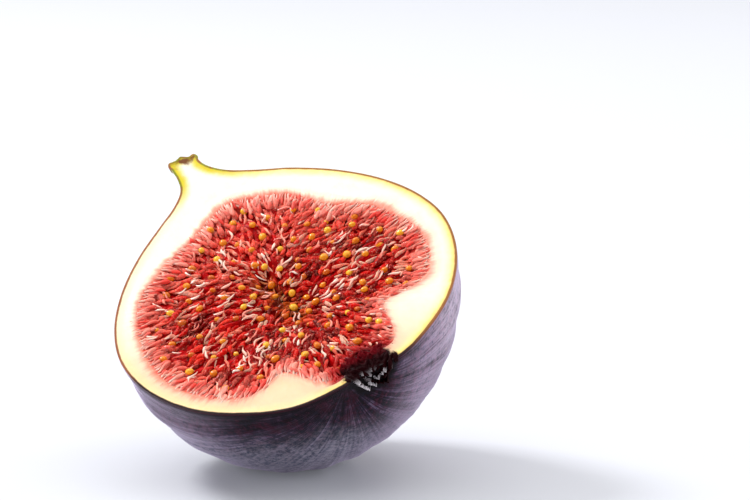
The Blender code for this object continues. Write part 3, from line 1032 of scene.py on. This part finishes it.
def flesh_by_skin(g, colour, wobble):
    """The flesh next to the skin: yellow, golden to the right, and green in the stalk."""
    from_skin = g.attribute("from_skin")
    x, y, _ = g.axes()
    right = g.fade(x, -9, 3)
    band = g.fade(g.shifted(from_skin, wobble, 1.4), 2.3, 0.3)
    colour = g.over(colour, rgb(255, 232, 138), g.times(band, g.spread(right, 0.3, 0.85)))
    gold = g.times(g.fade(g.shifted(from_skin, wobble, 0.8), 1.2, 0.4), g.times(right, g.fade(y, 22, 8)))
    colour = g.over(colour, rgb(250, 204, 108), gold, 0.7)
    green = g.times(g.fade(y, 25, 33), g.fade(g.shifted(from_skin, wobble, 1.0), 2.0, 0.5))
    return g.over(colour, rgb(214, 196, 34), green)


def skin_line(g, colour, wobble):
    """The skin's cut edge, a thin line on the face: brown or black, and olive on the stalk."""
    x, y, _ = g.axes()
    brown = g.mix(g.fade(x, -6, 0), rgb(142, 84, 52), rgb(142, 92, 40))
    olive = g.times(g.fade(y, 29, 33), g.fade(wobble, 0.35, 0.6))
    brown = g.over(brown, rgb(122, 130, 22), olive)
    edge = g.fade(g.shifted(g.attribute("from_skin"), wobble, 0.25), 0.5, 0.26)
    return g.over(colour, g.mix(warm_rim(g), rgb(30, 10, 12), brown), edge)


def pulp_by_eye(g, colour):
    """The pulp turns deep red, then maroon, towards the eye."""
    colour = g.over(colour, rgb(170, 6, 8), g.near_eye(5.6, 8.0), 0.95)
    return g.over(colour, rgb(44, 0, 6), g.near_eye(3.4, 5.8))


def bed_material():
    g = Graph("pulp_bed", Roughness=0.28, IOR=1.25, Specular_IOR_Level=0.15)
    g.glow_inside(0.2, 1.5, (1.0, 0.2, 0.15))
    heading, reach = g.from_hollow()
    outwards = g.vector_math("ADD", heading, g.vector(0.0, 0.0, g.times(reach, 0.02)))
    rays = g.noise(22, 5, 0.7, outwards[0])
    colour = g.ramp(
        rays,
        (0.35, rgb(130, 0, 0)),
        (0.5, rgb(172, 0, 4)),
        (0.62, rgb(214, 20, 22)),
        (0.78, rgb(244, 100, 84)),
    )
    colour = g.over(colour, rgb(64, 26, 4), g.attribute("core"), 0.75)
    off = g.shifted(g.attribute("from_red"), rays, 2.0)
    colour = g.over(colour, rgb(244, 104, 86), g.fade(off, -4.2, -1.4), 0.85)
    pale = pale_flesh(g, g.noise(0.5, 4, 0.6))
    colour = g.over(colour, pale, g.fade(off, -1.0, -0.1))
    g.bump(rays, 0.4, 0.5)
    return g.finished(pulp_by_eye(g, colour))


def floret_material():
    g = Graph("fig_floret", Roughness=0.3, IOR=1.25, Specular_IOR_Level=0.08)
    g.set("Coat Weight", 0.08)
    g.set("Coat Roughness", 0.06)
    g.glow_inside(0.4, 1.0, (1.0, 0.15, 0.1))
    tint = g.attribute("tint")
    body = g.ramp(
        tint,
        (0.0, rgb(100, 0, 0)),
        (0.33, rgb(158, 0, 0)),
        (0.56, rgb(210, 8, 4)),
        (0.68, rgb(234, 48, 32)),
        (0.79, rgb(250, 124, 100)),
        (1.0, rgb(255, 196, 170)),
    )
    grain = g.noise(1.6, 2)
    colour = g.over(body, rgb(250, 80, 64), g.fade(g.axes()[1], 1, 12), 0.46)
    colour = g.over(colour, rgb(236, 70, 50), g.fade(grain, 0.56, 0.72), 0.35)
    colour = veins_and_painted_glints(g, colour)
    colour = g.over(colour, rgb(240, 120, 96), g.fade(g.attribute("along"), 0.3, 0.02), 0.3)
    outer = g.fade(g.shifted(g.attribute("margin"), grain, 0.25), 0.74, 0.96)
    colour = g.over(colour, rgb(252, 120, 104), outer, 0.82)
    gold = g.mix(tint, rgb(84, 26, 2), rgb(204, 124, 18))
    colour = g.over(colour, gold, g.attribute("core"), 0.55)
    return g.finished(pulp_by_eye(g, colour))


def veins_and_painted_glints(g, colour):
    """Dark and pale veins, and small pale flecks that are painted highlights."""
    vein = g.noise(2.4, 4, 0.7)
    colour = g.over(colour, rgb(104, 0, 2), g.fade(vein, 0.45, 0.36), 0.6)
    colour = g.over(colour, rgb(250, 132, 108), g.fade(vein, 0.55, 0.66), 0.45)
    # painted highlights: small pale flecks on the florets
    painted_glints = g.fade(g.noise(4.5, 2), 0.6, 0.7)
    return g.over(colour, rgb(252, 160, 136), painted_glints, 0.55)


def fringe_material():
    g = Graph("fig_fringe", Roughness=0.35, IOR=1.3, Specular_IOR_Level=0.15)
    g.glow_inside(0.3, 1.0, (1.0, 0.4, 0.3))
    tint = g.attribute("tint")
    head = g.mix(tint, rgb(238, 70, 60), rgb(254, 152, 134))
    root = g.mix(tint, rgb(252, 164, 146), rgb(255, 216, 196))
    colour = g.over(root, head, g.fade(g.attribute("along"), 0.05, 0.6))
    return g.finished(pulp_by_eye(g, colour))


def thread_material():
    g = Graph("fig_thread", Roughness=0.25)
    g.glow_inside(0.25, 0.7, (1.0, 0.5, 0.4))
    pale = g.ramp(
        g.attribute("tint"),
        (0.0, rgb(246, 120, 100)),
        (0.4, rgb(252, 172, 148)),
        (1.0, rgb(255, 222, 204)),
    )
    return g.finished(g.over(pale, rgb(226, 60, 56), g.fade(g.attribute("along"), 0.6, 1.0), 0.5))


def seed_material():
    g = Graph("fig_seed", Roughness=0.2, Specular_IOR_Level=0.2, Coat_Weight=0.25, Coat_Roughness=0.05)
    g.glow_inside(0.2, 0.6, (1.0, 0.5, 0.15))
    gold = g.ramp(
        g.attribute("tint"),
        (0.0, rgb(206, 92, 0)),
        (0.35, rgb(230, 122, 0)),
        (0.75, rgb(241, 143, 8)),
        (1.0, rgb(251, 182, 42)),
    )
    # painted shade: each seed darker towards both ends
    from_middle = g.math("ABSOLUTE", g.math("SUBTRACT", g.attribute("along"), 0.5))
    return g.finished(g.over(gold, rgb(150, 44, 4), g.fade(from_middle, 0.25, 0.5), 0.6))


def eye_material():
    g = Graph("fig_eye", Roughness=0.55, IOR=1.25, Specular_IOR_Level=0.1)
    _, y, z = g.axes()
    grain = g.noise(1.6, 3, 0.6)
    dark = g.mix(grain, rgb(6, 0, 0), rgb(44, 2, 8))
    dark = g.over(dark, rgb(104, 2, 14), g.fade(g.shifted(y, grain, 2.0), -22.8, -21.0), 0.9)
    crumbs = g.noise(6.0, 5, 0.75)
    tips = g.fade(g.shifted(g.attribute("along"), crumbs, 3.0), 0.5, 1.0)
    tips = g.times(tips, g.fade(g.attribute("dust"), 0.3, 0.6))
    tips = g.times(tips, g.fade(g.shifted(z, crumbs, 2.0), 0.4, -0.5))
    g.bump(grain, 0.6, 0.2)
    return g.finished(g.over(dark, g.mix(grain, rgb(204, 194, 204), rgb(255, 248, 248)), tips))


# ------------ stage, light and camera
CAMERA_ELEVATION = math.radians(10)
CAMERA_DISTANCE = 16.0  # half-breadths from the belly's middle
CAMERA_LENS = 136.6
CAMERA_SEES = (0.01, 20)  # metres, from and to
BELLY_IN_VIEW = (-0.516, -0.209)  # half-breadths right of and above the picture's centre
FLOOR_SIZE = 4.0
FLOOR_COLOUR = rgb(211, 213, 220)
FLOOR_GLOW = 0.12  # a pale table that's lit from below too
STUDIO_GLOW = 0.4
# Square white lights that face the fruit: (name, place and side in metres, watts)
SOFTBOXES = (
    ("overhead", (-0.2, 0.6, 2.5), 4.0, 72.0),
    ("key", (-0.8, 0.5, 1.0), 0.35, 14.0),
    ("right", (1.3, 0.3, 0.35), 0.9, 9.0),
    ("left", (-1.3, -0.1, 0.4), 0.7, 4.0),
)


def add_camera():
    camera = add_object("camera", bpy.data.cameras.new("camera"))
    camera.data.lens = CAMERA_LENS
    camera.rotation_euler = (math.pi / 2 - CAMERA_ELEVATION, 0, 0)
    belly = Vector((*BELLY_IN_VIEW, -CAMERA_DISTANCE)) * HALF_BREADTH
    camera.location = OWN.translation - camera.rotation_euler.to_matrix() @ belly
    camera.data.clip_start, camera.data.clip_end = CAMERA_SEES
    bpy.context.scene.camera = camera


def add_floor():
    bm = bmesh.new()
    bmesh.ops.create_grid(bm, x_segments=1, y_segments=1, size=FLOOR_SIZE)
    floor = add_object("floor", finish_mesh(bm, "floor"))
    g = Graph("floor", Roughness=0.3, Specular_IOR_Level=0.4)
    g.set("Emission Color", FLOOR_COLOUR)
    g.set("Emission Strength", FLOOR_GLOW)
    floor.data.materials.append(g.finished(FLOOR_COLOUR))
    floor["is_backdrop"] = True


def add_softbox(name, place, side, power):
    light = bpy.data.lights.new(name, "AREA")
    light.size = side
    light.energy = power
    lamp = add_object(name, light)
    lamp.location = place
    lamp.rotation_euler = (-lamp.location).to_track_quat("-Z", "Y").to_euler()


def add_light():
    world = bpy.data.worlds.new("studio")
    world.use_nodes = True
    background = world.node_tree.nodes["Background"]
    background.inputs["Color"].default_value = (1.0, 1.0, 1.0, 1.0)
    background.inputs["Strength"].default_value = STUDIO_GLOW
    bpy.context.scene.world = world
    bpy.context.scene.view_settings.view_transform = "Standard"
    for softbox in SOFTBOXES:
        add_softbox(*softbox)


def main():
    add_camera()
    add_floor()
    add_light()
    add_piece("fig_wall", wall_mesh(), [skin_material(), flesh_material()], "wall")
    add_piece("eye_scales_fine", eye_mesh(), [eye_material()], "eye_scales")
    add_piece("pulp_bed", bed_mesh(), [bed_material()], "pulp")
    for name, template, grains, lumps, finish in (
        ("pulp_florets", FLORET, floret_grains(), 0.09 * MM, floret_material()),
        ("pulp_fringe", FLORET, fringe_grains(), 0.1 * MM, fringe_material()),
        ("pulp_threads", THREAD, thread_grains(), 0.05 * MM, thread_material()),
        ("seeds", SEED, seed_grains(), 0.03 * MM, seed_material()),
    ):
        add_piece(name, grains_mesh(name, template, grains, lumps), [finish], "pulp")


main()

[[list(corner) for corner in box] for box in (cad_box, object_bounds())]
